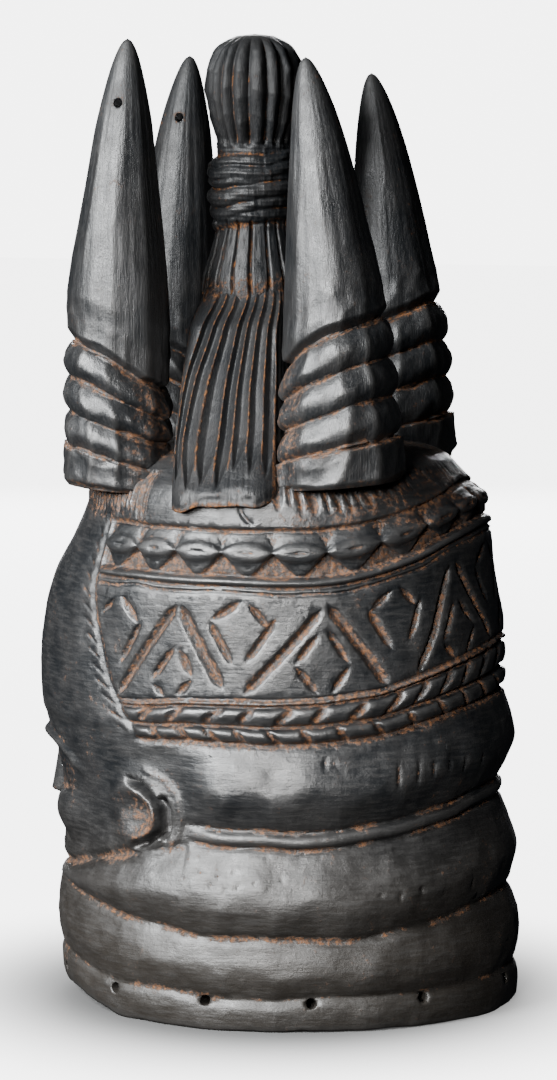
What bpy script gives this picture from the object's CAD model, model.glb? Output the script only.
"""Sowei helmet mask, the carved surface and its finish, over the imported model."""

import math

import bmesh
import bpy
import numpy as np
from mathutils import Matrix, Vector


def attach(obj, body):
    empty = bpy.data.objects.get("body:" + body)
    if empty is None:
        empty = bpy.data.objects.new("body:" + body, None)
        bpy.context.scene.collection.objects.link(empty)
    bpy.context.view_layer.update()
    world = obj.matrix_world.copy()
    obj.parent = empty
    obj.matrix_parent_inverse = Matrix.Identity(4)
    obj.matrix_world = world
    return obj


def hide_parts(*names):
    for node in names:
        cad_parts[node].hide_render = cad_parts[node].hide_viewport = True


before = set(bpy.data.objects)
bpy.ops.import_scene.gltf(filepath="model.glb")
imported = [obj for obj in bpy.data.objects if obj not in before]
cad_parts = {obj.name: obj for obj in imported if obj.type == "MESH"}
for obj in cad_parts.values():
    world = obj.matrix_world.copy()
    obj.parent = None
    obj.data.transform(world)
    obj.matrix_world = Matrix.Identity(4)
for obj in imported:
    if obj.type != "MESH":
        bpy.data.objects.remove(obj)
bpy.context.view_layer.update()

# Sizes are in metres. Angles are in degrees from the front toward the mask's left ear.

# Outside of the helmet: height, depth in front, depth behind and half width.
WALL_STATIONS = (
    (0.000, 0.1070, 0.1200, 0.0985),
    (0.018, 0.1085, 0.1195, 0.0995),
    (0.046, 0.1100, 0.1180, 0.1005),
    (0.072, 0.1085, 0.1140, 0.0990),
    (0.100, 0.1080, 0.1110, 0.0975),
    (0.118, 0.1105, 0.1105, 0.0980),
    (0.138, 0.1170, 0.1115, 0.0990),
    (0.165, 0.1195, 0.1132, 0.0995),
    (0.190, 0.1175, 0.1130, 0.0985),
    (0.212, 0.1120, 0.1090, 0.0970),
    (0.232, 0.1010, 0.1070, 0.0950),
    (0.246, 0.0950, 0.1040, 0.0930),
    (0.256, 0.0940, 0.1000, 0.0910),
    (0.264, 0.0900, 0.0915, 0.0870),
    (0.271, 0.0820, 0.0850, 0.0790),
)
# Crown above the wall: height and share of the size of the wall's top.
CROWN_STATIONS = ((0.2731, 0.95), (0.2745, 0.90), (0.2759, 0.82), (0.2770, 0.74), (0.2779, 0.64),
                  (0.2785, 0.54), (0.2791, 0.42), (0.2795, 0.30), (0.2798, 0.15))
CROWN_TOP = 0.280
# Hollow: height and share of its full depths and half width.
HOLLOW_STATIONS = ((0.000, 1.000), (0.006, 0.990), (0.110, 0.990), (0.150, 0.960), (0.180, 0.885),
                   (0.203, 0.765), (0.220, 0.580), (0.229, 0.360), (0.233, 0.150))
HOLLOW_TOP = 0.234
HOLLOW_FRONT, HOLLOW_BACK, HOLLOW_SIDE = 0.0920, 0.1020, 0.0865
# Radius that turns an angle round the helmet into a length on its unrolled wall.
UNROLLED = 0.1101

# Lines carved round the helmet: angle where each is lowest, its height there, and its rise
# to the front and to the back.
FLANGE_LINE = (110.0, 0.0160, 0.0045, 0.0030)
LOW_NECK_LINE = (106.0, 0.0450, 0.0190, 0.0135)
HIGH_NECK_LINE = (108.0, 0.0940, 0.0080, 0.0140)
BRAID_LOW_LINE = (108.0, 0.1410, 0.0000, 0.0165)
BRAID_TOP_LINE = (108.0, 0.1615, -0.0100, 0.0215)
PANEL_TOP_LINE = (108.0, 0.2135, 0.0020, 0.0225)
RIDGE_TOP_LINE = (108.0, 0.2215, 0.0010, 0.0225)
CHAIN_TOP_LINE = (108.0, 0.2435, 0.0000, 0.0170)
FRINGE_TOP = 0.2640
# Foot of the fringe in front, and widths of its gouges round the back and in front.
FRINGE_FRONT_FOOT = 0.2440
FRINGE_PITCHES = (3.40, 2.30)
# Cord on the nape between the two upper rings.
CORD_UNDER, CORD_OVER = 0.0042, 0.0040

# Edge of the hair beside the forehead, and the heights between which it has a strip.
HAIR_HEIGHTS = (0.1445, 0.1510, 0.1610, 0.1670, 0.1810, 0.1955, 0.2095, 0.2240, 0.2440)
HAIR_ANGLES = (65.0, 62.5, 59.4, 57.5, 54.6, 51.4, 48.4, 45.8, 43.5)
HAIR_STRIP = (0.1465, 0.2440)

# Cuts of the panel on the mask's left side: angle and share of the band's height.
NEAR_CUTS = (
    ((77.5, 0.89), (60.8, 0.04)), ((77.9, 0.89), (89.8, 0.11)),
    ((77.5, 0.52), (70.8, 0.18)), ((77.9, 0.51), (82.2, 0.21)),
    ((82.3, 0.22), (77.2, 0.04)), ((71.2, 0.18), (75.2, 0.04)),
    ((94.2, 0.94), (85.8, 0.74)), ((85.6, 0.76), (92.2, 0.33)),
    ((95.2, 0.93), (101.6, 0.66)), ((103.0, 0.79), (94.6, 0.35)),
    ((58.6, 0.90), (53.6, 0.72)), ((60.0, 0.92), (66.9, 0.68)), ((67.8, 0.72), (61.3, 0.31)),
    ((114.6, 0.87), (94.5, 0.07)), ((115.6, 0.91), (131.8, 0.02)),
    ((113.4, 0.65), (106.8, 0.34)), ((106.8, 0.36), (113.6, 0.05)),
    ((115.0, 0.69), (121.0, 0.31)), ((121.3, 0.32), (115.8, 0.05)),
    ((134.4, 0.90), (126.6, 0.75)), ((126.2, 0.80), (132.4, 0.35)),
    ((136.0, 0.91), (141.6, 0.65)), ((143.2, 0.74), (137.0, 0.38)),
    ((155.0, 0.90), (139.4, 0.05)), ((157.0, 0.90), (171.5, 0.05)),
    ((155.2, 0.56), (148.0, 0.23)), ((148.0, 0.25), (154.0, 0.02)),
    ((156.4, 0.56), (162.6, 0.25)), ((162.8, 0.27), (157.2, 0.02)),
    ((176.4, 0.92), (167.0, 0.74)), ((166.8, 0.77), (173.4, 0.34)),
    ((178.4, 0.92), (185.6, 0.68)), ((186.4, 0.76), (178.6, 0.36)),
)
# Peaks of the plainer zigzag that takes the panel on to the mask's right side.
FAR_PEAKS = (196.0, 233.4, 270.8)
# Height of the panel on its unrolled band, and half width and depth of its cuts.
PANEL_TALL = 0.052
WIDE_CUT, NARROW_CUT = (0.0029, 0.0032), (0.0022, 0.0026)

# Leaf cuts of the two rows of the braid, and the reach and depth of a cut.
BRAID_UPPER_CUTS = (67.5, 75.0, 84.0, 92.5, 101.6, 110.6, 120.2, 129.6, 138.4, 146.4, 154.8, 163.0,
                    171.4, 180.2, 188.4, 197.6, 206.2, 215.0, 223.0, 232.4, 240.8, 250.2, 258.4,
                    267.6, 276.0, 284.8, 292.6)
BRAID_LOWER_CUTS = (70.6, 77.6, 84.2, 91.6, 99.8, 108.4, 117.0, 126.6, 136.6, 146.0, 155.4, 163.8,
                    172.6, 181.0, 190.4, 198.8, 207.8, 216.4, 225.2, 234.0, 243.4, 251.6, 260.4,
                    269.2, 278.6, 286.8)
BRAID_CUT_REACH, BRAID_CUT_DEPTH = 0.0205, 0.0027
# Angles where the chain's lenses meet, and the height of their middle as a share.
CHAIN_KNOTS = (47.5, 61.2, 74.5, 88.4, 101.9, 116.0, 131.4, 147.0, 161.6, 175.4, 189.6, 203.8,
               217.6, 231.6, 245.8, 259.6, 273.4, 287.0, 300.6, 313.0)
LENS_MIDDLE = 0.54
# Crooked scratch over the chain.
SCRATCH = ((93.0, 0.2540), (93.8, 0.2505), (96.0, 0.2468))

# Ear on the mask's left side; the right one mirrors it. Angle and height.
EAR_RIM = ((68.0, 0.1250), (73.6, 0.1215), (77.0, 0.1130), (78.0, 0.1030), (76.8, 0.0930),
           (72.5, 0.0855), (65.5, 0.0830))
EAR_GROOVE = ((61.5, 0.1200), (67.5, 0.1165), (72.4, 0.1080), (73.6, 0.1020), (71.6, 0.0950),
              (67.0, 0.0890), (61.5, 0.0865))
EAR_RIDGE = ((61.5, 0.1158), (66.6, 0.1125), (69.8, 0.1065), (70.4, 0.1015), (68.6, 0.0965),
             (65.6, 0.0930), (61.0, 0.0905))
# Places on the face: distance from its middle and height.
EYE_SIDE, EYE_HEIGHT = 0.0290, 0.1160
EYELID_CREASE = ((0.0125, 0.1165), (0.0190, 0.1222), (0.0270, 0.1240), (0.0350, 0.1222),
                 (0.0430, 0.1155))
BROW_SIDE, BROW_HEIGHT, BROW_END = 0.0300, 0.1315, 0.0690
CHEEK_SIDE, CHEEK_HEIGHT = 0.0470, 0.0955
NOSE_ROOT, NOSE_LENGTH = 0.1260, 0.0310
WING_SIDE, WING_HEIGHT = 0.0082, 0.0985
NOSTRIL_SIDE, NOSTRIL_HEIGHT = 0.0055, 0.0950
LIP_HALF_WIDTH, LIP_HEIGHT = 0.0135, 0.0835
LIP_GROOVE_HEIGHT, CHIN_HEIGHT = 0.0910, 0.0715

# Short upright nicks in the neck rings: angle, foot and top.
NOTCHES = (
    (133.6, 0.1175, 0.1325), (139.1, 0.1185, 0.1335), (143.6, 0.1215, 0.1330),
    (148.8, 0.1225, 0.1325), (154.6, 0.1210, 0.1330), (161.4, 0.1225, 0.1325),
    (114.8, 0.1280, 0.1365), (116.9, 0.1300, 0.1345),
    (127.4, 0.0650, 0.0700), (132.7, 0.0630, 0.0705), (138.6, 0.0650, 0.0730),
    (145.3, 0.0620, 0.0690), (156.0, 0.0630, 0.0720), (113.3, 0.0835, 0.0885),
    (100.3, 0.0835, 0.0885),
)
# Worm holes in the ring under the ear: angle and height.
WORM_HOLES = ((84.0, 0.0780), (88.5, 0.0765), (92.5, 0.0790), (87.0, 0.0725), (93.6, 0.0722),
              (97.5, 0.0745), (80.0, 0.0750), (104.0, 0.0760), (90.5, 0.0700))
RIM_HOLES = 12
RIM_HOLE_START = 24.0
RIM_HOLE_HEIGHT = 0.0145
RIM_HOLE_RADIUS = 0.0026
# The rim lifts under the chin: how far, within which angle, over what run and up to where.
RIM_LIFT, RIM_LIFT_ANGLE, RIM_LIFT_RUN, RIM_LIFT_TOP = 0.0065, 60.0, 26.0, 0.045
RIM_WEAR = 0.0006
# Slits in the lids: side, height, half length, half height, and depth from the hollow's front.
SLIT_SIDE, SLIT_HEIGHT = 0.0270, 0.1152
SLIT_LENGTH, SLIT_TALL, SLIT_DEPTH = 0.0180, 0.0022, 0.0825

# Horns: side, foot depth, lean of the tip, foot height, length, ring pitch, foot radius,
# direction of the bore near the tip.
HORNS = {
    "horn_front_left": (0.050, -0.0680, 0.0055, 0.2585, 0.2190, 0.0155, 0.0275, "X"),
    "horn_front_right": (-0.050, -0.0680, 0.0080, 0.2585, 0.2095, 0.0155, 0.0275, "X"),
    "horn_back_left": (0.060, 0.0460, -0.0165, 0.2640, 0.2050, 0.0172, 0.0325, "Y"),
    "horn_back_right": (-0.060, 0.0460, -0.0135, 0.2640, 0.1955, 0.0172, 0.0310, "Y"),
}
HORN_RADIUS = 0.0255
HORN_TOP_RING_RADIUS = 0.0270
HORN_BEND = 2.2
HORN_RINGS = 4
HORN_GROOVE = 0.0046
HORN_POINT = 0.130
# Widths of the flats left by the knife round the rings and the shaft.
RING_FLAT, SHAFT_FLAT = 36.0, 40.0
# Bore near the tip: its drop below the tip, radius and half length.
BORE_DROP, BORE_RADIUS, BORE_REACH = 0.0310, 0.0023, 0.03

# Height, half width, half depth and middle of the fluted flap.
SKIRT_STATIONS = (
    (0.2545, 0.0960, 0.0292, -0.0045),
    (0.2620, 0.0945, 0.0292, -0.0048),
    (0.2680, 0.0895, 0.0290, -0.0058),
    (0.2850, 0.0750, 0.0282, -0.0088),
    (0.3140, 0.0560, 0.0266, -0.0114),
    (0.3420, 0.0400, 0.0246, -0.0124),
    (0.3540, 0.0330, 0.0250, -0.0120),
)
SKIRT_FOOT, SKIRT_TOP = 0.2545, 0.3644
HEM_TOP = 0.2680
SIDE_FLUTES, END_FLUTES = 7, 20
# The flap closes round the stem of the topknot from here up, over this run.
CLOSE_FOOT, CLOSE_RUN = 0.3360, 0.0280
CLOSED_RADIUS = 0.0215

TOPKNOT_DEPTH = -0.0120
# Height and radius.
TOPKNOT_STATIONS = (
    (0.3400, 0.0250), (0.3500, 0.0266), (0.3580, 0.0262), (0.3720, 0.0222), (0.3860, 0.0190),
    (0.3985, 0.0192),
    (0.4110, 0.0200), (0.4235, 0.0186), (0.4360, 0.0222), (0.4480, 0.0245), (0.4590, 0.0246),
    (0.4685, 0.0221), (0.4750, 0.0166), (0.4785, 0.0092),
)
TOPKNOT_TOP = 0.4795
TOPKNOT_RIBS = 18
STEM_FOOT, TIE_FOOT, BULB_FOOT, BULB_TOP = 0.3400, 0.3860, 0.4235, 0.4785
# Cords wound round the neck of the topknot: height, half height and swell.
WRAPS = ((0.4195, 0.0032, 0.0026), (0.4140, 0.0042, 0.0040), (0.4085, 0.0034, 0.0032),
         (0.4028, 0.0052, 0.0046), (0.3962, 0.0040, 0.0034), (0.3902, 0.0036, 0.0022))

# Most triangles of each piece before its holes are cut, and the sides of a drilled hole.
TRIANGLES = {"helmet": 192000, "horn": 60000, "skirt": 120000, "topknot": 110000}
SHARE_OF_FACES = 1.0
HOLE_SIDES = 16
FIELDS = ("fine", "broad", "dust", "inside")

# Colours of the stained wood, from its hollows to its rubbed edges, of dust and of bare wood.
COAL, GREY_BLACK = (0.0034, 0.0040, 0.0048), (0.0085, 0.0085, 0.0088)
HANDLED_BROWN = (0.0150, 0.0122, 0.0094)
STREAK_GREY, RUBBED_GREY = (0.0180, 0.0172, 0.0165), (0.0220, 0.0215, 0.0210)
DARK_DUST, PALE_DUST = (0.0110, 0.0054, 0.0028), (0.0980, 0.0370, 0.0090)
DARK_BARE_WOOD, PALE_BARE_WOOD = (0.018, 0.012, 0.008), (0.042, 0.028, 0.018)
# Scales of streaks that lie level and that stand upright, and of an even pattern.
LEVEL_STREAKS, UPRIGHT_STREAKS = (90.0, 90.0, 620.0), (1300.0, 1300.0, 75.0)
EVEN = (1.0, 1.0, 1.0)

SIGHT_HEIGHT = 0.228
CAMERA_LENS, CAMERA_SENSOR = 146.67, 36.0
CAMERA_AZIMUTH, CAMERA_ELEVATION, CAMERA_DISTANCE = 105.0, 7.0, 2.2
# The floor glows from clear of the mask's shadow outward.
SHADOW_EDGE, GLOW_EDGE, FLOOR_GLOW = 0.095, 0.24, 5.1


def smooth(value):
    """Ease from 0 to 1."""
    value = np.clip(value, 0.0, 1.0)
    return value * value * (3.0 - 2.0 * value)


def window(value, low, high, edge):
    """One between two limits, easing to zero over the edge outside them."""
    return smooth((value - low) / edge + 1.0) * smooth((high - value) / edge + 1.0)


def mound(ratio_squared):
    """Rounded swelling, one in the middle and zero where the ratio reaches one."""
    return np.clip(1.0 - ratio_squared, 0.0, None) ** 1.5


def follow(height, stations, column):
    """Smooth curve through one column of a station table."""
    at = np.array([row[0] for row in stations])
    size = np.array([row[column] for row in stations])
    slope = np.gradient(size, at)
    spot = np.clip(np.searchsorted(at, height, side="right") - 1, 0, len(at) - 2)
    gap = at[spot + 1] - at[spot]
    share = np.clip((height - at[spot]) / gap, 0.0, 1.0)
    start = (1.0 + 2.0 * share) * (1.0 - share) ** 2 * size[spot]
    leave = share * (1.0 - share) ** 2 * gap * slope[spot]
    finish = share ** 2 * (3.0 - 2.0 * share) * size[spot + 1]
    arrive = share ** 2 * (share - 1.0) * gap * slope[spot + 1]
    return start + leave + finish + arrive


def hills(u, v, seed, wrap=64):
    """Smooth random heights from -1 to 1, one hill a unit; u repeats after wrap."""
    table = np.random.default_rng(seed).uniform(-1.0, 1.0, (64, wrap))
    u_cell, v_cell = np.floor(u).astype(int), np.floor(v).astype(int)
    u_share, v_share = smooth(u - u_cell), smooth(v - v_cell)
    left, right = u_cell % wrap, (u_cell + 1) % wrap
    low, high = v_cell % 64, (v_cell + 1) % 64
    bottom = table[low, left] * (1.0 - u_share) + table[low, right] * u_share
    top = table[high, left] * (1.0 - u_share) + table[high, right] * u_share
    return bottom * (1.0 - v_share) + top * v_share


def scoops(u, v, seed, wrap=64):
    """Overlapping shallow tool marks: 0 in the middle of a mark, up to 1 at its edge."""
    rng = np.random.default_rng(seed)
    shift_u = rng.uniform(-0.38, 0.38, (64, wrap))
    shift_v = rng.uniform(-0.38, 0.38, (64, wrap))
    u_cell, v_cell = np.floor(u).astype(int), np.floor(v).astype(int)
    nearest = np.full(np.shape(u), 9.0)
    for step_v in (-1, 0, 1):
        for step_u in (-1, 0, 1):
            column, row = (u_cell + step_u) % wrap, (v_cell + step_v) % 64
            off_u = u_cell + step_u + 0.5 + shift_u[row, column] - u
            off_v = v_cell + step_v + 0.5 + shift_v[row, column] - v
            nearest = np.minimum(nearest, off_u ** 2 + off_v ** 2)
    return np.clip(nearest * 1.6, 0.0, 1.0)


def vee(offset, half_width):
    """Section of a V cut, one on its line and zero at its edges."""
    return np.clip(1.0 - np.abs(offset) / half_width, 0.0, None)


def roll(share, skew=1.0):
    """Half-round section over shares zero to one; a skew under one lowers its crest."""
    share = np.clip(share, 0.0, 1.0) ** skew
    return (4.0 * share * (1.0 - share)) ** 0.75


def arc(degrees):
    """Length on the unrolled wall."""
    return np.radians(degrees) * UNROLLED


def unrolled(points):
    """Points given as angle and height, on the unrolled wall."""
    return [(float(arc(angle)), level) for angle, level in points]


def line_height(line, away):
    """Height of a carved line that is lowest near the ear."""
    lowest, height, front_rise, back_rise = line
    back = np.sin(np.radians(90.0 * np.clip((away - lowest) / (180.0 - lowest), 0.0, 1.0)))
    front = np.sin(np.radians(90.0 * np.clip((lowest - away) / lowest, 0.0, 1.0)))
    return height + back_rise * back ** 2 + front_rise * front ** 2


def cut_line(across, up, start, end, half_width, taper):
    """Section of a straight V cut with pointed ends, and its share of the way along."""
    run, rise = end[0] - start[0], end[1] - start[1]
    length = math.hypot(run, rise)
    along = ((across - start[0]) * run + (up - start[1]) * rise) / length ** 2
    off = np.abs((across - start[0]) * rise - (up - start[1]) * run) / length
    ends = np.clip(np.minimum(along, 1.0 - along) * length / taper, 0.0, 1.0)
    return np.clip(ends - off / half_width, 0.0, None)


def stroke(across, up, points, half_width):
    """Distance section along a line of points: one on the line, zero at the half width."""
    nearest = np.full(np.shape(across), 9.0)
    for start, end in zip(points[:-1], points[1:]):
        run, rise = end[0] - start[0], end[1] - start[1]
        share = np.clip(((across - start[0]) * run + (up - start[1]) * rise)
                        / (run ** 2 + rise ** 2), 0.0, 1.0)
        nearest = np.minimum(nearest, np.hypot(across - start[0] - share * run,
                                               up - start[1] - share * rise))
    return np.clip(1.0 - nearest / half_width, 0.0, None)


def blur(field, rounds):
    """Even out a field over the grid; its columns wrap round."""
    for _ in range(rounds):
        field = (np.roll(field, 1, 1) + 2.0 * field + np.roll(field, -1, 1)) / 4.0
        padded = np.concatenate((field[:1], field, field[-1:]))
        field = (padded[:-2] + 2.0 * field + padded[2:]) / 4.0
    return field


def grid_normals(spots):
    """Outward directions of a grid of points wrapped round an axis."""
    around = np.roll(spots, -1, 1) - np.roll(spots, 1, 1)
    padded = np.concatenate((spots[:1], spots, spots[-1:]))
    out = np.cross(around, padded[2:] - padded[:-2])
    return out / np.maximum(np.linalg.norm(out, axis=2, keepdims=True), 1e-12)


def depth_fields(spots, fine, broad):
    """How far each point lies under its smoothed surroundings, at two scales."""
    out = grid_normals(spots)
    return [((blur(spots, rounds) - spots) * out).sum(axis=2) for rounds in (fine, broad)]


def pole(columns, x, y, z):
    """Row of points that all meet in one place and close a form."""
    return np.zeros((1, columns, 3)) + (x, y, z)


def flats(turn, width):
    """Section of flats of one width in degrees round a circle: one at their edges."""
    return math.cos(math.radians(width / 2.0)) / np.cos(np.radians(turn % width - width / 2.0))


def grid_turns(rows, columns, heights):
    """Angle and height of every point of a grid."""
    turn = np.arange(columns) * 360.0 / columns
    return np.tile(turn, (rows, 1)), np.tile(np.asarray(heights)[:, None], (1, columns))


def hair_angle(height):
    """Angle of the hair's edge beside the forehead."""
    return np.interp(height, HAIR_HEIGHTS, HAIR_ANGLES)


def ring_section(share, crest):
    """Ring of the neck: a broad slope above its crest and a short one under it."""
    share = np.clip(share, 0.0, 1.0)
    above = np.maximum((1.0 - share) / (1.0 - crest), 1e-6)
    below = np.maximum(share / crest, 1e-6)
    return 1.28 * (above ** -2.7 + below ** -2.7) ** (-1.0 / 2.7)


def wobble(turn, size, pitch, seed):
    """Unsteadiness of a line carved round the helmet."""
    return size * hills(turn / pitch, 0.0 * turn, seed, int(round(360.0 / pitch)))


def neck_relief(turn, away, height):
    """Swelling neck rings with the cut lines between them."""
    fade = 0.30 + 0.70 * smooth((away - 15.0) / 55.0)
    flange = line_height(FLANGE_LINE, away) + wobble(turn, 0.0010, 14.4, 11)
    low = line_height(LOW_NECK_LINE, away) + wobble(turn, 0.0012, 12.0, 12)
    cord = line_height(HIGH_NECK_LINE, away) + wobble(turn, 0.0006, 9.0, 13)
    braid = line_height(BRAID_LOW_LINE, away)
    jaw = np.where(away < 80.0, np.interp(away, (0.0, 30.0, 60.0, 80.0),
                                          (0.0640, 0.0690, 0.0820, 0.0900)), cord - CORD_UNDER)
    behind_ear = smooth((away - 76.0) / 14.0)
    crest = 0.37 + wobble(turn, 0.09, 20.0, 14) + wobble(turn, 0.06, 7.5, 15)
    crest = crest + wobble(turn, 0.03, 3.0, 16)
    relief = 0.0015 * roll(height / flange)
    relief = relief + 0.0036 * fade * ring_section((height - flange) / (low - flange), crest)
    under_cord = (height - low) / np.maximum(jaw - low, 0.002)
    relief = relief + 0.0072 * fade * ring_section(under_cord, crest)
    cord_top = cord + CORD_OVER
    ring = (height - cord_top) / (braid - cord_top)
    relief = relief + 0.0074 * behind_ear * ring_section(ring, crest + 0.02)
    relief = relief + 0.0020 * behind_ear * roll((height - jaw) / (cord_top - jaw))
    for line, deep in ((flange, 0.0008), (low, 0.0012)):
        relief = relief - deep * vee(height - line, 0.0034)
    lines = np.zeros_like(height)
    for line in (cord - CORD_UNDER, cord_top):
        lines = np.maximum(lines, behind_ear * vee(height - line, 0.0022))
    relief = relief - 0.0018 * lines
    under_jaw = 1.0 - smooth((away - 60.0) / 20.0)
    crease = under_jaw * vee(height - jaw, 0.0050)
    relief = relief - 0.0030 * crease
    for mirror in (turn, 360.0 - turn):
        for angle, start, end in NOTCHES:
            near = np.abs(mirror - angle) < 2.0
            if not near.any():
                continue
            lean = 0.0006
            cut = cut_line(arc(mirror[near]), height[near], (arc(angle) - lean, start),
                           (arc(angle) + lean, end), 0.0013, 0.004)
            relief[near] = relief[near] - 0.0012 * cut
    low_lines = np.maximum(0.5 * vee(height - low, 0.0030), 0.5 * vee(height - flange, 0.0050))
    broken = smooth(0.45 + 1.8 * hills(turn / 6.0, height / 0.02, 17, 60))
    threads = np.maximum(np.maximum(lines, crease), 2.0 * low_lines)
    lodged = (0.42 * lines + 0.35 * crease + 0.40 * low_lines) * broken
    return relief, lodged - 0.45 * threads * (1.0 - broken)


def hair_relief(away, height):
    """Edge of the forehead, a notched strip and a shallow groove beside the hair."""
    across = arc(away - hair_angle(height))
    tall = window(height, *HAIR_STRIP, 0.006)
    relief = 0.0010 * smooth((-across - 0.0040) / 0.0140) * tall
    groove = vee(across - 0.0014, 0.0030)
    relief = relief - 0.0014 * tall * groove
    strip = window(across, -0.0070, -0.0016, 0.0016) * tall
    beat = ((height * 1000.0 + across * 700.0) / 7.2) % 1.0
    notch = vee(beat - 0.5, 0.20) * (0.4 + 0.6 * vee(across + 0.0040, 0.0036))
    relief = relief - 0.0008 * strip * notch
    dusty = 0.42 * strip * notch + 0.55 * tall * vee(across - 0.0032, 0.0016)
    return relief, dusty - 0.5 * tall * vee(across, 0.0018)


def braid_relief(turn, away, height):
    """Two rows of slanting leaf cuts that lean against each other, under a raised cord."""
    wave = wobble(turn, 0.0006, 10.0, 21)
    low = line_height(BRAID_LOW_LINE, away) + wave
    top = line_height(BRAID_TOP_LINE, away) + wave
    tall = top - low
    share = (height - low) / tall
    border = arc(away - hair_angle(np.maximum(height, 0.1445)))
    inside = smooth(border / 0.0070)
    swell = 0.0027 - 0.0012 * smooth((away - 120.0) / 45.0)
    lower = roll(share / 0.39, 1.3)
    upper = roll((share - 0.45) / 0.46, 1.25)
    cord = roll((share - 0.925) / 0.13)
    relief = swell * np.maximum(np.maximum(lower, upper), 0.62 * cord) * inside
    lines = np.zeros_like(height)
    for line, deep, half in ((0.0, 0.0020, 0.0022), (0.42, 0.0024, 0.0018),
                             (0.915, 0.0018, 0.0013), (1.07, 0.0010, 0.0014)):
        near = vee((share - line) * tall, half)
        relief = relief - deep * inside * near
        lines = np.maximum(lines, near)
    grain = hills(turn * 1.4, height * 900.0, 23, 504)
    relief = relief + 0.0004 * grain * window(share, 0.95, 1.04, 0.03) * inside
    across = arc(turn)
    cuts = np.zeros_like(height)
    for angles, ends, lean, half in ((BRAID_UPPER_CUTS, (0.41, 0.93), 5.8, 0.0028),
                                     (BRAID_LOWER_CUTS, (0.40, -0.04), 4.4, 0.0024)):
        for count, angle in enumerate(angles):
            slope = lean * (0.85 + 0.3 * ((count * 7) % 5) / 4.0)
            near = np.abs(turn - angle - slope / 2.0) < 6.0
            longer = 0.35 * smooth((angle - 120.0) / 40.0) * smooth((240.0 - angle) / 40.0)
            drop = BRAID_CUT_REACH * (1.0 + longer)
            line = cut_line(across[near], (share * tall)[near],
                            (float(arc(angle)), ends[0] * drop),
                            (float(arc(angle + slope)), ends[1] * drop), half, 0.0040)
            cuts[near] = np.maximum(cuts[near], line)
    dusty = 0.50 * lines + 0.55 * np.clip(cuts * 1.6, 0.0, 1.0)
    dusty = dusty + 0.42 * window(share, 0.94, 1.04, 0.02)
    dusty = dusty + 0.25 * window(share, -0.12, 0.02, 0.06)
    return relief - BRAID_CUT_DEPTH * cuts * inside, dusty * inside


def panel_cuts():
    """Ends of every straight cut of the panel, as angles and shares, wide ones marked."""
    cuts = [(start, end, abs(start[1] - end[1]) > 0.60) for start, end in NEAR_CUTS]
    rng = np.random.default_rng(5)

    def add(points, wide):
        for start, end in zip(points[:-1], points[1:]):
            shift = rng.uniform(-1.0, 1.0, 4)
            cuts.append(((start[0] + 0.5 * shift[0], start[1] + 0.015 * shift[1]),
                         (end[0] + 0.5 * shift[2], end[1] + 0.015 * shift[3]), wide))

    for peak in FAR_PEAKS:
        add(((peak - 17.0, 0.05), (peak, 0.90)), True)
        add(((peak, 0.90), (peak + 16.5, 0.05)), True)
        add(((peak, 0.58), (peak - 6.6, 0.28), (peak, 0.04), (peak + 6.6, 0.28), (peak, 0.58)),
            False)
        middle = peak + 18.7
        add(((middle - 1.2, 0.34), (middle - 8.2, 0.70), (middle, 0.93), (middle + 8.0, 0.68),
             (middle + 1.0, 0.34)), False)
    return cuts


def panel_relief(turn, away, height):
    """Zigzags and lozenges cut into the broad band."""
    low = line_height(BRAID_TOP_LINE, away)
    top = line_height(PANEL_TOP_LINE, away)
    up = (height - low) / (top - low) * PANEL_TALL
    up = up + 0.0002 * hills(turn / 1.2, height / 0.002, 24, 300)
    across = arc(turn) + 0.0002 * hills(turn / 1.2, height / 0.002, 25, 300)
    border = arc(away - hair_angle(height)) - 0.0040
    inside = (up > 0.0) & (up < PANEL_TALL) & (border > -0.002)
    depth = np.zeros_like(height)
    dusty = np.zeros_like(height)
    rng = np.random.default_rng(8)
    for start, end, wide in panel_cuts():
        half, deep = WIDE_CUT if wide else NARROW_CUT
        half = half * rng.uniform(0.92, 1.12)
        low_angle, high_angle = min(start[0], end[0]) - 2.5, max(start[0], end[0]) + 2.5
        near = inside & (turn > low_angle) & (turn < high_angle)
        line = cut_line(across[near], up[near], (float(arc(start[0])), start[1] * PANEL_TALL),
                        (float(arc(end[0])), end[1] * PANEL_TALL), half, 0.0060)
        depth[near] = np.maximum(depth[near], deep * line)
        dusty[near] = np.maximum(dusty[near], np.clip(line * 2.4 - 0.15, 0.0, 1.0))
    edge = smooth(border / 0.0020 + 1.0)
    return -depth * edge, 0.55 * dusty * edge


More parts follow.
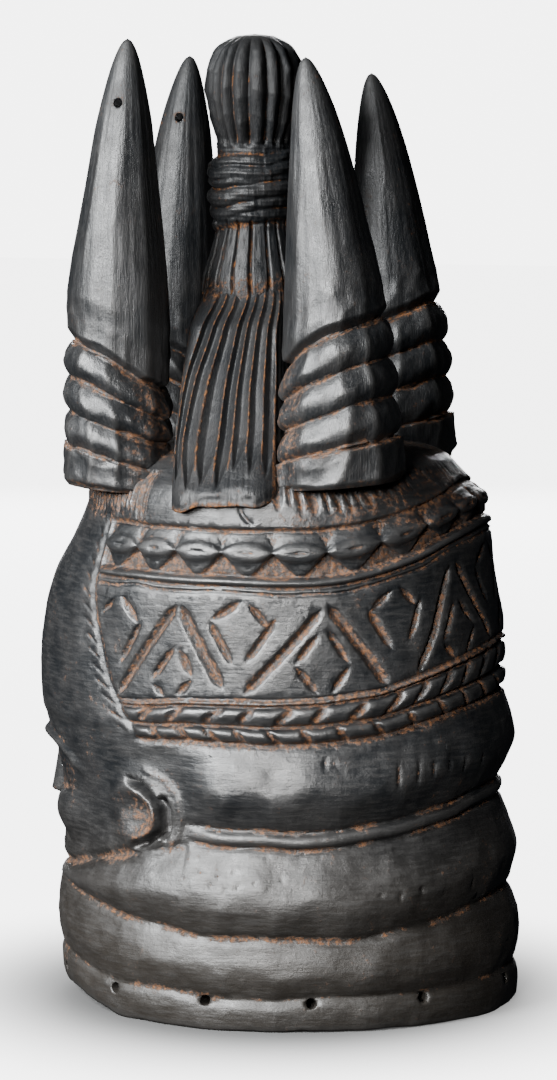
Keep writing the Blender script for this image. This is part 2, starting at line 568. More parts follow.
def chain_relief(turn, away, height):
    """Raised ridge with a chain of slit lenses between cut triangles above it."""
    panel = line_height(PANEL_TOP_LINE, away)
    ridge = line_height(RIDGE_TOP_LINE, away)
    top = line_height(CHAIN_TOP_LINE, away)
    inside = smooth((arc(away - hair_angle(height)) - 0.0040) / 0.0030)
    wave = wobble(turn, 0.0005, 8.0, 31)
    relief = 0.0019 * roll((height - panel - 0.0035) / (ridge - panel - 0.0035), 0.9)
    relief = relief * (1.0 - 0.55 * smooth((away - 120.0) / 45.0))
    lines = np.zeros_like(height)
    for line, deep in ((panel + 0.0030 + wave, 0.0018), (panel + 2.0 * wave, 0.0012),
                       (ridge + wave, 0.0014)):
        near = vee(height - line, 0.0014)
        relief = relief - deep * near
        lines = np.maximum(lines, near)
    knots = np.array(CHAIN_KNOTS)
    link = np.interp(turn, knots, np.arange(len(knots)), left=-0.5, right=len(knots) - 0.5) % 1.0
    share, tall = (height - ridge) / (top - ridge), top - ridge
    junction = np.minimum(link, 1.0 - link)
    half_link = np.abs(link - 0.5) * 2.0
    lower = smooth((0.50 - 1.12 * junction - share) * tall / 0.0009 + 0.5)
    lower = lower * window(share, 0.05, 9.0, 0.03)
    upper = smooth((share - 0.66 - 1.7 * junction) * tall / 0.0009 + 0.5)
    upper = upper * window(share, -9.0, 0.92, 0.04)
    uneven = 2.0 * hills(turn, share * 4.0, 33, 360)
    hatch = 0.5 + 0.5 * np.cos(turn * 2.0 * math.pi / 0.95 + uneven)
    relief = relief - (0.0024 + 0.0006 * hatch) * lower
    relief = relief - (0.0012 + 0.0004 * hatch) * upper
    arch = 0.205 * (1.0 - half_link ** 2.6) + 0.022
    lens = np.clip(1.0 - ((share - LENS_MIDDLE) / arch) ** 2, 0.0, None)
    relief = relief + 0.0024 * lens ** 0.5 * (1.0 - 0.35 * half_link ** 4)
    beside = np.clip(np.abs(share - LENS_MIDDLE) - arch, 0.0, None) * (1.0 - lower) * (1.0 - upper)
    relief = relief - 0.0050 * beside * window(share, 0.0, 1.0, 0.02)
    slit = cut_line((link - 0.5) * 0.0262, (share - LENS_MIDDLE) * tall, (-0.0064, 0.0),
                    (0.0064, 0.0), 0.0009, 0.005)
    relief = relief - 0.0012 * slit
    over = vee((share - 1.02) * tall + wave, 0.0020)
    relief = relief - 0.0018 * over
    band = window(share, -0.6, 1.04, 0.06)
    dusty = 0.45 * lines + 0.72 * lower + 0.28 * upper + 0.55 * over + 0.35 * slit
    mark = stroke(arc(turn), height, unrolled(SCRATCH), 0.0016)
    relief = relief * inside * band - 0.0012 * mark
    return relief, dusty * inside * band + 0.5 * mark


def fringe_relief(turn, away, height):
    """Short upright gouges with pointed lower ends under the horns."""
    back = (turn > 101.0) & (turn < 259.0)
    front = away < 62.5
    pitch = np.where(back, *FRINGE_PITCHES)
    jitter = 0.28 * hills(turn / pitch, 0.0 * turn, 41, 156)
    beat = (turn / pitch + jitter) % 1.0
    index = np.floor(turn / pitch + jitter).astype(int) % 512
    random = np.random.default_rng(42).uniform(0.0, 1.0, 512)[index]
    foot = np.where(back, line_height(CHAIN_TOP_LINE, away) + 0.0045, FRINGE_FRONT_FOOT)
    foot = foot + 0.0060 * random
    climb = np.clip((height - foot) / np.where(back, 0.0105, 0.0065), 0.0, 1.0)
    half = 0.42 * climb ** 0.8
    section = np.clip(half - np.abs(beat - 0.5), 0.0, None) / 0.40
    region = np.where(back, window(turn, 102.5, 257.5, 2.0), window(away, -1.0, 61.5, 1.5))
    cut = section * region * (back | front) * (height < FRINGE_TOP + 0.004)
    ground = 0.22 * region * (back | front) * window(height, 0.2455, 0.2700, 0.003)
    sunlit = np.where(beat < 0.58, 0.95, -0.5)
    return np.where(back, -0.0036, -0.0020) * cut, ground + sunlit * np.clip(cut * 1.6, 0.0, 1.0)


def ear_relief(away, height):
    """Ear: a deep angular groove round a raised ridge and a hollow open to the face."""
    across = arc(away)
    near = (away > 44.0) & (away < 84.0) & (height > 0.068) & (height < 0.136)
    x, z = across[near], height[near]
    mass = mound(((x - arc(66.0)) / 0.028) ** 2 + ((z - 0.1035) / 0.0280) ** 2)
    rim = stroke(x, z, unrolled(EAR_RIM), 0.0024)
    groove = smooth(1.5 * stroke(x, z, unrolled(EAR_GROOVE), 0.0026))
    wide = mound(((x - arc(73.2)) / 0.0042) ** 2 + ((z - 0.1025) / 0.0120) ** 2)
    fade_out = smooth((x - arc(61.0)) / 0.0090)
    groove = np.maximum(groove, np.clip(wide * 2.4, 0.0, 1.0)) * fade_out
    ridge = smooth(1.2 * stroke(x, z, unrolled(EAR_RIDGE), 0.0030)) * fade_out
    behind = arc(70.6) - x
    bowl = mound(((x - arc(66.5)) / 0.0260) ** 2 + ((z - 0.1025) / 0.0150) ** 2)
    bowl = bowl * smooth(behind / 0.0040)
    change = 0.0038 * smooth(mass * 1.3) + 0.0007 * smooth(rim)
    change = change - 0.0080 * groove + 0.0014 * ridge - 0.0034 * bowl
    relief = np.zeros_like(height)
    dusty = np.zeros_like(height)
    relief[near] = change
    spread = mound(((x - arc(63.5)) / 0.0260) ** 2 + ((z - 0.1020) / 0.0190) ** 2)
    lodged = 0.34 * spread * (0.6 + 0.4 * hills(x / 0.003, z / 0.003, 43))
    lodged = lodged + 0.26 * smooth(rim) - 1.6 * groove
    dusty[near] = lodged + 0.50 * ridge * (0.4 + 0.6 * smooth((0.108 - z) / 0.006))
    return relief, dusty


def face_relief(across, height):
    """Slit eyes under brow arcs, cheeks, a small wedge nose, small lips and a chin."""
    side = np.abs(across)
    low = height - EYE_HEIGHT
    hollow = mound(((side - 0.0340) / 0.0330) ** 2 + ((low - 0.0010) / 0.0150) ** 2)
    lid_arc = low + 0.10 * (side - EYE_SIDE) ** 2 / 0.0165
    lid = mound(((side - EYE_SIDE) / 0.0205) ** 2 + (lid_arc / 0.0080) ** 2)
    relief = 0.0078 * lid ** 0.6 - 0.0105 * hollow
    relief = relief - 0.0012 * stroke(side, height, EYELID_CREASE, 0.0014)
    brow = BROW_HEIGHT - 0.0130 * ((side - BROW_SIDE) / 0.0360) ** 2
    brow_end = smooth((BROW_END - side) / 0.0080) * smooth((side - 0.0040) / 0.0060)
    relief = relief + 0.0040 * mound(((height - brow) / 0.0050) ** 2) * brow_end
    cheek = mound(((side - CHEEK_SIDE) / 0.0250) ** 2 + ((height - CHEEK_HEIGHT) / 0.0150) ** 2)
    relief = relief + 0.0062 * cheek
    share = (NOSE_ROOT - height) / NOSE_LENGTH
    run = np.clip(share, 0.0, 1.0)
    half_width = 0.0040 + 0.0065 * run ** 1.4
    swell = 0.0030 + 0.0095 * run
    nose = swell * mound((side / half_width) ** 2) * window(share, 0.0, 0.92, 0.14)
    wings = mound(((side - WING_SIDE) / 0.0048) ** 2 + ((height - WING_HEIGHT) / 0.0048) ** 2)
    relief = np.maximum(relief, np.maximum(nose, 0.0050 * wings))
    nostril = mound(((side - NOSTRIL_SIDE) / 0.0022) ** 2
                    + ((height - NOSTRIL_HEIGHT) / 0.0016) ** 2)
    relief = relief - 0.0030 * nostril
    lips = mound((side / LIP_HALF_WIDTH) ** 2 + ((height - LIP_HEIGHT) / 0.0062) ** 2)
    parting = vee(height - LIP_HEIGHT + 0.0008 * (side / LIP_HALF_WIDTH) ** 2, 0.0016)
    relief = relief + lips ** 0.6 * (0.0060 - 0.0034 * parting)
    groove = mound((side / 0.0022) ** 2 + ((height - LIP_GROOVE_HEIGHT) / 0.0030) ** 2)
    relief = relief - 0.0012 * groove
    chin = mound((side / 0.0150) ** 2 + ((height - CHIN_HEIGHT) / 0.0070) ** 2)
    dusty = 0.35 * hollow * (1.0 - lid) + 0.3 * lips * parting
    return relief + 0.0040 * chin, dusty


def rim_lift(away, height, wear):
    """How far the rim's lift under the chin and its wear raise the wall."""
    lift = RIM_LIFT * smooth((RIM_LIFT_ANGLE - away) / RIM_LIFT_RUN)
    return (lift + wear) * np.clip(1.0 - height / RIM_LIFT_TOP, 0.0, 1.0)


def wall_points(turn, height):
    """Carved outside of the helmet over angle and height, and where dust lodges in it."""
    away = np.minimum(turn, 360.0 - turn)
    wall = np.minimum(height, WALL_STATIONS[-1][0])
    ahead = np.cos(np.radians(turn))
    depth = np.where(ahead > 0.0, follow(wall, WALL_STATIONS, 1), follow(wall, WALL_STATIONS, 2))
    width = follow(wall, WALL_STATIONS, 3)
    east = np.sin(np.radians(turn))
    relief, dusty = neck_relief(turn, away, height)
    under_braid = height < line_height(BRAID_LOW_LINE, away)
    relief, dusty = relief * under_braid, dusty * under_braid
    for change, lodged in (hair_relief(away, height), braid_relief(turn, away, height),
                           panel_relief(turn, away, height), chain_relief(turn, away, height),
                           fringe_relief(turn, away, height), ear_relief(away, height)):
        relief, dusty = relief + change, dusty + lodged
    face = (away < 55.0) & (height > 0.060) & (height < 0.240)
    marks = scoops(turn / 10.0, height / 0.0085, 51, 36) * (1.0 - 0.8 * face)
    relief = relief + 0.00045 * marks * smooth((0.150 - height) / 0.01 + 1.0)
    relief = relief + 0.00060 * hills(turn / 9.0, height / 0.016, 52, 40) * (1.0 - 0.5 * face)
    relief = relief + 0.00014 * hills(turn / 1.5, height / 0.0040, 53, 240)
    for angle, level in WORM_HOLES:
        gap = np.hypot(arc(turn - angle), height - level)
        relief = relief - 0.0012 * vee(gap, 0.0010)
    for count in range(RIM_HOLES):
        aimed = math.radians(RIM_HOLE_START + count * 360.0 / RIM_HOLES)
        reach = WALL_STATIONS[1][1] if math.cos(aimed) > 0.0 else WALL_STATIONS[1][2]
        width_here = WALL_STATIONS[1][3]
        bored = math.degrees(math.atan2(math.sin(aimed) * reach, math.cos(aimed) * width_here))
        gap = np.hypot(arc((turn - bored + 180.0) % 360.0 - 180.0), height - RIM_HOLE_HEIGHT)
        dusty = dusty + 0.45 * vee(gap, 0.0060)
        relief = relief - 0.0006 * vee(gap, 0.0048)
    out_x = east / width
    out_y = -ahead / depth
    long = np.hypot(out_x, out_y)
    x = width * east + relief * out_x / long
    y = -depth * ahead + relief * out_y / long
    change, lodged = face_relief(x, height)
    y = y - change * (ahead > 0.0)
    dusty = dusty + lodged * (ahead > 0.0)
    z = height + rim_lift(away, height, wobble(turn, RIM_WEAR, 7.2, 55) + RIM_WEAR)
    return np.stack((x, y, z), axis=-1), dusty


def hollow_points(turn, share, height):
    """Inside of the helmet, with broad gouge marks."""
    ahead = np.cos(np.radians(turn))
    depth = np.where(ahead > 0.0, HOLLOW_FRONT, HOLLOW_BACK)
    marks = scoops(turn / 12.0, height / 0.022, 61, 30) * 0.0012
    marks = marks + 0.0010 * hills(turn / 6.0, height / 0.030, 62, 60)
    grow = share * (1.0 + (marks - 0.0006) / 0.09)
    z = height + rim_lift(np.minimum(turn, 360.0 - turn), height, RIM_WEAR)
    x = grow * HOLLOW_SIDE * np.sin(np.radians(turn))
    return np.stack((x, -grow * depth * ahead, z), axis=-1)


def helmet():
    """Points and surface fields of the helmet: inside from its top down, then outside up."""
    columns = 720
    inner = []
    heights = np.concatenate((np.linspace(0.0, 0.11, 34), np.linspace(0.113, 0.233, 46)))
    for level in heights[::-1]:
        share = float(follow(np.array([level]), HOLLOW_STATIONS, 1)[0])
        turn, height = grid_turns(1, columns, [level])
        inner.append(hollow_points(turn, share, height))
    inner = np.concatenate([pole(columns, 0.0, 0.0, HOLLOW_TOP)] + inner)
    levels = np.concatenate((np.arange(0.0, 0.136, 0.00105), np.arange(0.136, 0.2710, 0.00072),
                             [0.2710]))
    turn, height = grid_turns(len(levels), columns, levels)
    outer, lodged = wall_points(turn, height)
    bottom = outer[:1].copy()
    foot = []
    for share in (0.25, 0.55, 0.85):
        row = inner[-1:] + (bottom - inner[-1:]) * share
        row[..., 2] = row[..., 2] - 0.0004 * math.sin(share * math.pi)
        foot.append(np.maximum(row, (-9.0, -9.0, 0.0)))
    wall_top = outer[-1:]
    crown = []
    for level, share in CROWN_STATIONS:
        row = wall_top * (share, share, 1.0)
        dents = hills(turn[:1] / 12.0, np.full((1, columns), share * 9.0), 71, 30)
        row[..., 2] = level + 0.0006 * dents
        crown.append(row)
    peak = pole(columns, 0.0, 0.0, CROWN_TOP)
    spots = np.concatenate([inner] + foot + [outer] + crown + [peak])
    first, last = len(inner) + len(foot), len(inner) + len(foot) + len(outer)
    fine, broad = depth_fields(spots, 7, 60)
    dust = np.zeros(spots.shape[:2])
    dust[first:last] = lodged
    dust[last:] = 0.30
    inside = np.zeros(spots.shape[:2])
    inside[:first - 1] = 1.0
    return spots, fine, broad, dust, inside


def horn(name):
    """Points and fields of a horn whose rings dip toward the topknot."""
    side, foot_depth, lean, foot, length, pitch, foot_radius, _ = HORNS[name]
    seed = sum(ord(letter) for letter in name)
    columns = 120
    rings = HORN_RINGS * pitch
    levels = np.concatenate((np.linspace(0.0, rings + 0.008, 122),
                             np.linspace(rings + 0.009, length - 0.012, 92),
                             length - 0.012 * np.cos(np.linspace(0.15, 1.0, 14) * math.pi / 2.0)))
    levels[-1] = length
    turn, height = grid_turns(len(levels), columns, levels)
    outward = math.copysign(1.0, foot_depth)
    level = height + 0.0012 * hills(turn / 30.0, np.floor(height / pitch), seed, 12)
    ring = np.clip(level / pitch, 0.0, HORN_RINGS - 0.001)
    share = np.clip(level / pitch - np.floor(ring), 0.0, 1.0)
    swell = ring_section(share, 0.42) ** 0.62
    body = foot_radius + (HORN_TOP_RING_RADIUS - foot_radius) * np.clip(level / rings, 0.0, 1.0)
    lowest = np.maximum(swell, 0.35 + 0.65 * smooth(share * 5.0))
    swell = np.where(np.floor(ring) < 0.5, lowest, swell)
    radius = body - HORN_GROOVE * (1.0 - swell) + 0.0004
    ring_turn = turn + 37.0 * np.floor(ring) + 12.0 * hills(turn / 30.0, ring, seed + 1, 12)
    radius = radius * (1.0 + (flats(ring_turn, RING_FLAT) - 1.0) + 0.016)
    chips = scoops(turn / 15.0, level / pitch * 2.0 + 0.5, seed + 5, 24)
    radius = radius + 0.0006 * (chips - 0.5)
    above = level > rings
    reach = np.clip((length - height) / HORN_POINT, 0.0, 1.0)
    shaft = HORN_RADIUS * np.clip(reach, 1e-9, 1.0) ** 0.55
    bevel = smooth((level - rings) / 0.0065)
    shaft = shaft - 0.0042 * (1.0 - bevel) * (height < length * 0.6)
    scallop = scoops(turn / 36.0, height / 0.060, seed + 2, 10)
    shaft = shaft + 0.0009 * (scallop - 0.4) * smooth(reach * 2.0)
    shaft_turn = turn - 97.0 + 3.0 * hills(turn / 40.0, height / 0.05, seed + 7, 9)
    flat = flats(shaft_turn, SHAFT_FLAT)
    shaft = shaft * (1.0 + 0.4 * (flat - 1.0) * smooth(reach * 1.5) + 0.008)
    chips = scoops(turn / 18.0, height / 0.013, seed + 6, 20)
    shaft = shaft + 0.0010 * (chips - 0.5) * smooth((rings + 0.030 - height) / 0.014)
    shaft = shaft + 0.00022 * hills(turn / 4.0, height / 0.030, seed + 3, 90) * smooth(reach * 3.0)
    radius = np.where(above, shaft, radius)
    radius = radius + 0.00022 * hills(turn / 6.0, height / 0.004, seed + 4, 60) * (~above)
    radius[-1] = 0.0
    x = radius * np.sin(np.radians(turn))
    y = -radius * np.cos(np.radians(turn))
    run = np.clip(height / rings, 0.0, 1.0)
    fade = 1.0 - smooth((height - rings) / (length - rings) * 2.2)
    dip = (0.08 + 0.46 * run ** 0.7) * fade
    bend = 0.20 * run * fade
    inward = -outward * y
    drop = dip * inward + bend * (inward ** 2 / foot_radius - 0.35 * foot_radius)
    middle = foot_depth + lean * (height / length) ** HORN_BEND
    spots = np.stack((side + x, middle + y, foot + height - drop), axis=-1)
    spots = np.concatenate((pole(columns, side, foot_depth, foot), spots))
    fine, broad = depth_fields(spots, 6, 50)
    dust = np.zeros(spots.shape[:2])
    edge = np.minimum(share, 1.0 - share)
    dust[1:] = 0.56 * vee(edge, 0.11) * (level < rings + 0.001) * (level > 0.5 * pitch)
    dust[1:] = dust[1:] + 0.25 * smooth((0.005 - height) / 0.005)
    dust[1:] = dust[1:] + 0.25 * (~above) * smooth(inward / 0.010 - 0.6)
    bore = length - BORE_DROP
    across = spots[..., 1] - foot_depth - lean * (bore / length) ** HORN_BEND
    if HORNS[name][-1] == "Y":
        across = spots[..., 0] - side
    dust = dust + 0.55 * vee(np.hypot(across, spots[..., 2] - foot - bore), 0.0048)
    return spots, fine, broad, dust, np.zeros(spots.shape[:2])


def flute_depth(place, lift, count, seed, foot):
    """Concave flutes with pointed lower ends, and how near each point is to a crest."""
    rng = np.random.default_rng(seed)
    edges = np.linspace(-0.97, 0.97, count + 1)
    edges[1:-1] = edges[1:-1] + rng.uniform(-0.30, 0.30, count - 1) / count
    index = np.clip(np.searchsorted(edges, place) - 1, 0, count - 1)
    middle = (edges[index] + edges[index + 1]) / 2.0
    half = (edges[index + 1] - edges[index]) / 2.0
    ends = foot + rng.uniform(-0.0045, 0.0050, count)
    depth = rng.uniform(0.75, 1.15, count)
    climb = np.clip((lift - ends[index]) / 0.014, 0.0, 1.0)
    off = (place - middle) / half
    skewed = np.where(off < -0.30, (off + 0.30) / 0.70, (off + 0.30) / 1.30)
    section = np.clip(1.0 - np.abs(skewed / np.maximum(climb ** 0.8, 0.05)) ** 1.35, 0.0, 1.0)
    crest = np.clip((np.abs(off) - 0.78) / 0.22, 0.0, 1.0) * smooth(climb * 1.5 - 0.3)
    crest = crest * (np.abs(off) < 1.06)
    return section * smooth(climb * 3.0) * depth[index], crest


def skirt():
    """Points and fields of the fluted flap that falls over both sides."""
    face_columns, end_columns = 170, 80
    columns = 2 * (face_columns + end_columns)
    levels = np.linspace(SKIRT_FOOT, 0.3640, 180)
    step = np.arange(columns, dtype=float)
    half_end = end_columns / 2.0
    corners = np.cumsum((0.0, half_end, face_columns, end_columns, face_columns, half_end))
    across = np.interp(step, corners, (0.0, 1.0, 1.0, -1.0, -1.0, 0.0))
    along = np.interp(step, corners, (-1.0, -1.0, 1.0, 1.0, -1.0, -1.0))
    across, height = np.tile(across, (len(levels), 1)), np.tile(levels[:, None], (1, columns))
    along = np.tile(along, (len(levels), 1))
    close = smooth((height - CLOSE_FOOT) / CLOSE_RUN)
    power = 6.0 - 4.0 * close
    reach = (np.abs(across) ** power + np.abs(along) ** power) ** (-1.0 / power)
    run = np.clip((height - HEM_TOP) / 0.079, 0.0, 1.0)
    side = np.sign(across)
    on_side = np.abs(across) >= np.abs(along)
    sway = 0.06 * hills(along * 1.5 + 7.0, height / 0.024, 87)
    lean = 0.20 * run ** 1.5
    base = (along - lean) / (1.0 - lean) + sway
    cuts, crest = np.zeros_like(height), np.zeros_like(height)
    for sign, seed in ((1.0, 81), (-1.0, 82)):
        near = on_side & (side == sign)
        found, top = flute_depth(base, height, SIDE_FLUTES, seed, 0.2665)
        cuts, crest = np.where(near, found, cuts), np.where(near, top, crest)
    ends, _ = flute_depth(across, height, END_FLUTES, 83, 0.2700)
    cuts = np.where(on_side, cuts, 0.7 * ends)
    collar = 1.0 - 0.80 * smooth((height - 0.3420) / 0.014)
    cuts, crest = cuts * collar, crest * collar
    width = follow(height, SKIRT_STATIONS, 1) * (1.0 - close) + CLOSED_RADIUS * close
    width = width - 0.0034 * cuts * on_side
    depth = follow(height, SKIRT_STATIONS, 2) * (1.0 - close) + CLOSED_RADIUS * close
    depth = depth - 0.0022 * cuts * (~on_side)
    middle = follow(height, SKIRT_STATIONS, 3) * (1.0 - close) + TOPKNOT_DEPTH * close
    marks = 0.0004 * hills(along * 6.0, height / 0.0030, 84)
    marks = marks + 0.0003 * hills(along * 20.0, height / 0.012, 85)
    width = width + marks * (1.0 - 0.7 * smooth((height - HEM_TOP) / 0.006)) * (1.0 - close)
    hem = 0.0014 * hills(along * 3.0, across * 3.0, 86) * smooth((HEM_TOP - height) / 0.0135)
    slant = 0.0024 * along * on_side * (1.0 - run)
    spots = np.stack((width * across * reach, middle + depth * along * reach, height + hem + slant),
                     axis=-1)
    spots = np.concatenate((pole(columns, 0.0, TOPKNOT_DEPTH, SKIRT_FOOT), spots,
                            pole(columns, 0.0, TOPKNOT_DEPTH, SKIRT_TOP)))
    fine, broad = depth_fields(spots, 5, 45)
    dust = np.zeros(spots.shape[:2])
    edge = 0.65 * smooth((along - 0.90) / 0.06) * (1.0 - run)
    edge = edge + 0.3 * smooth((-along - 0.955) / 0.03) + 0.50 * smooth((0.2580 - height) / 0.003)
    dust[1:-1] = (0.80 * crest + edge) * on_side + 0.06 * (~on_side) - 0.4 * cuts + 0.40 * close
    return spots, fine, broad, dust, np.zeros(spots.shape[:2])


def topknot():
    """Points and fields of the ribbed stem, the wraps and the bulb."""
    columns = 288
    levels = np.concatenate((np.linspace(STEM_FOOT, TIE_FOOT, 48), np.linspace(0.3868, 0.4240, 64),
                             np.linspace(0.4250, BULB_TOP, 84)))
    turn, height = grid_turns(len(levels), columns, levels)
    radius = follow(height, TOPKNOT_STATIONS, 1)
    bend = turn + 6.0 * hills(turn / 40.0, height * 12.0, 91, 9)
    rib = np.abs(np.sin(np.radians(bend * TOPKNOT_RIBS / 2.0)))
    bulb = smooth((height - BULB_FOOT) / 0.005)
    cap = smooth((BULB_TOP - height) / 0.006)
    groove = 1.0 - rib ** 0.8
    radius = radius - 0.0036 * bulb * cap * groove
    chips = scoops(turn / 20.0, height / 0.011, 92, 18)
    radius = radius + 0.0009 * (chips - 0.5) * bulb * cap
    shoulder = 0.4515 + 0.0020 * hills(turn / 20.0, 0.0 * turn, 93, 18)
    radius = radius + 0.0003 * bulb * mound(((height - shoulder) / 0.0080) ** 2)
    stem = window(height, 0.3420, 0.3865, 0.003)
    strand = turn + 4.0 * hills(turn / 30.0, height * 30.0, 94, 12)
    line = np.clip(1.0 - np.abs(np.sin(np.radians(strand * 9.0))) / 0.42, 0.0, 1.0)
    radius = radius - 0.0026 * stem * line
    slant = height + 0.0028 * np.sin(np.radians(turn + 40.0)) + wobble(turn, 0.0010, 40.0, 95)
    wrap = np.zeros_like(height)
    for count, (level, half, grow) in enumerate(WRAPS):
        shift = wobble(turn, 0.0022, 60.0, 101 + count) + wobble(turn, 0.0007, 20.0, 111 + count)
        wrap = np.maximum(wrap, grow * roll((slant + shift - level) / (2.0 * half) + 0.5))
    tied = window(height, TIE_FOOT, 0.4250, 0.004)
    fibre = np.abs(np.sin(math.pi * (slant / 0.0026 + turn / 60.0)))
    chips = scoops(turn / 24.0, height / 0.008, 90, 15)
    radius = radius + wrap + (0.0007 * (chips - 0.5) + 0.0004 * fibre) * tied
    radius = radius + 0.0002 * hills(turn / 4.0, height / 0.006, 99, 90)
    spots = np.stack((radius * np.sin(np.radians(turn)),
                      TOPKNOT_DEPTH - radius * np.cos(np.radians(turn)), height), axis=-1)
    spots = np.concatenate((pole(columns, 0.0, TOPKNOT_DEPTH, STEM_FOOT), spots,
                            pole(columns, 0.0, TOPKNOT_DEPTH, TOPKNOT_TOP)))
    fine, broad = depth_fields(spots, 5, 40)
    dust = np.zeros(spots.shape[:2])
    broken = smooth(0.5 - 1.5 * hills(turn / 18.0, height / 0.02, 100, 20))
    lodged = 0.30 * smooth((0.3640 - height) / 0.006)
    lodged = lodged + 0.30 * tied * (wrap < 0.0014) * smooth((BULB_FOOT - height) / 0.003)
    lodged = lodged + 0.55 * stem * line * broken
    dust[1:-1] = lodged + 0.30 * bulb * groove ** 2 * smooth((0.4480 - height) / 0.02)
    return spots, fine, broad, dust, np.zeros(spots.shape[:2])


def finished_mesh(name, shape):
    """Mesh data from a bmesh, which is freed."""
    data = bpy.data.meshes.new(name)
    shape.to_mesh(data)
    shape.free()
    return data


def wrap_mesh(name, spots, fields):
    """Closed mesh from rows of points round an axis, with named fields on its points."""
    rows, columns = spots.shape[:2]
    sheet = bmesh.new()
    bmesh.ops.create_grid(sheet, x_segments=columns, y_segments=rows - 1, size=1.0)
    data = finished_mesh(name, sheet)
    flat = np.empty(len(data.vertices) * 3)
    data.vertices.foreach_get("co", flat)
    flat = flat.reshape(-1, 3)
    column = np.rint((flat[:, 0] + 1.0) / 2.0 * columns).astype(int) % columns
    row = np.rint((flat[:, 1] + 1.0) / 2.0 * (rows - 1)).astype(int)
    data.vertices.foreach_set("co", spots[row, column].ravel())
    for key, field in fields.items():
        layer = data.attributes.new(key, "FLOAT", "POINT")
        layer.data.foreach_set("value", field[row, column].astype(np.float32))
    weld = bmesh.new()
    weld.from_mesh(data)
    bmesh.ops.remove_doubles(weld, verts=weld.verts, dist=2e-6)
    for face in weld.faces:
        face.smooth = True
    weld.to_mesh(data)
    weld.free()
    return data


def bake(item):
    """Apply an object's modifiers to its mesh."""
    bpy.context.view_layer.update()
    found = item.evaluated_get(bpy.context.evaluated_depsgraph_get())
    data = bpy.data.meshes.new_from_object(found)
    item.modifiers.clear()
    old = item.data
    item.data = data
    bpy.data.meshes.remove(old)


def rods(name, ends, radius):
    """Plain cylinders from each start to each end, as drills."""
    mesh = bmesh.new()
    for start, end in ends:
        start, end = Vector(start), Vector(end)
        span = end - start
        turn = span.to_track_quat("Z", "Y").to_matrix()
        made = bmesh.ops.create_cone(mesh, cap_ends=True, segments=HOLE_SIDES, radius1=radius,
                                     radius2=radius, depth=span.length)
        for vert in made["verts"]:
            vert.co = turn @ vert.co + (start + end) / 2.0
    return finished_mesh(name, mesh)


def slits():
    """Slits through the lids into the hollow."""
    mesh = bmesh.new()
    for side in (-1.0, 1.0):
        made = bmesh.ops.create_cone(mesh, cap_ends=True, segments=24, radius1=0.5, radius2=0.5,
                                     depth=1.0)
        for vert in made["verts"]:
            x, y, z = vert.co
            vert.co = (side * SLIT_SIDE + x * SLIT_LENGTH, z * SLIT_DEPTH - HOLLOW_FRONT,
                       SLIT_HEIGHT + y * SLIT_TALL)
    bmesh.ops.recalc_face_normals(mesh, faces=mesh.faces)
    return finished_mesh("slits", mesh)


def make_piece(name, parts, skin, limit, tools):
    """One piece of the mask from its points and fields, thinned and with its holes cut."""
    spots, fine, broad, dust, inside = parts
    data = wrap_mesh(name, spots, {"fine": fine * 1000.0, "broad": broad * 1000.0,
                                   "dust": dust, "inside": inside})
    item = bpy.data.objects.new(name, data)
    bpy.context.scene.collection.objects.link(item)
    triangles = len(data.loops) - 2 * len(data.polygons)
    if triangles > limit * SHARE_OF_FACES:
        thin = item.modifiers.new("thin", "DECIMATE")
        thin.ratio = limit * SHARE_OF_FACES / triangles
    cutters = []
    for tool in tools:
        cutter = bpy.data.objects.new(tool.name, tool)
        bpy.context.scene.collection.objects.link(cutter)
        step = item.modifiers.new("cut " + tool.name, "BOOLEAN")
        step.operation = "DIFFERENCE"
        step.solver = "MANIFOLD"
        step.object = cutter
        cutters.append(cutter)
    bake(item)
    for cutter in cutters:
        bpy.data.objects.remove(cutter, do_unlink=True)
    item.data.materials.clear()
    item.data.materials.append(skin)
    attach(item, "root")
    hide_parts("mask")


def add_node(tree, kind, place, **settings):
    """One node with its settings."""
    node = tree.nodes.new(kind)
    node.location = place
    for key, value in settings.items():
        setattr(node, key, value)
    return node


def math_node(tree, operation, first, second, place, clamp=False):
    """One math node; each input is a socket or a number."""
    node = add_node(tree, "ShaderNodeMath", place, operation=operation, use_clamp=clamp)
    for index, value in enumerate((first, second)):
        if isinstance(value, (int, float)):
            node.inputs[index].default_value = value
        else:
            tree.links.new(value, node.inputs[index])
    return node.outputs[0]


def ramp(tree, value, low, high, start, end, place):
    """Map a range of a value to another, held at its ends."""
    node = add_node(tree, "ShaderNodeMapRange", place, interpolation_type="SMOOTHSTEP")
    tree.links.new(value, node.inputs["Value"])
    for key, number in (("From Min", low), ("From Max", high), ("To Min", start), ("To Max", end)):
        node.inputs[key].default_value = number
    return node.outputs["Result"]


def blend_colour(tree, share, first, second, place):
    """Mix two colours, each a socket or three numbers, by a share from a socket."""
    node = add_node(tree, "ShaderNodeMix", place, data_type="RGBA")
    tree.links.new(share, node.inputs["Factor"])
    colour_inputs = [socket for socket in node.inputs if socket.type == "RGBA"]
    for socket, value in zip(colour_inputs, (first, second)):
        if isinstance(value, tuple):
            socket.default_value = (*value, 1.0)
        else:
            tree.links.new(value, socket)
    return [socket for socket in node.outputs if socket.type == "RGBA"][0]


def noise(tree, vector, scale, detail, rough, stretch, place):
    """Noise over stretched coordinates."""
    mapping = add_node(tree, "ShaderNodeMapping", (place[0] - 200, place[1]))
    tree.links.new(vector, mapping.inputs["Vector"])
    mapping.inputs["Scale"].default_value = stretch
    node = add_node(tree, "ShaderNodeTexNoise", place)
    node.inputs["Scale"].default_value = scale
    node.inputs["Detail"].default_value = detail
    node.inputs["Roughness"].default_value = rough
    tree.links.new(mapping.outputs["Vector"], node.inputs["Vector"])
    return node.outputs["Fac"]


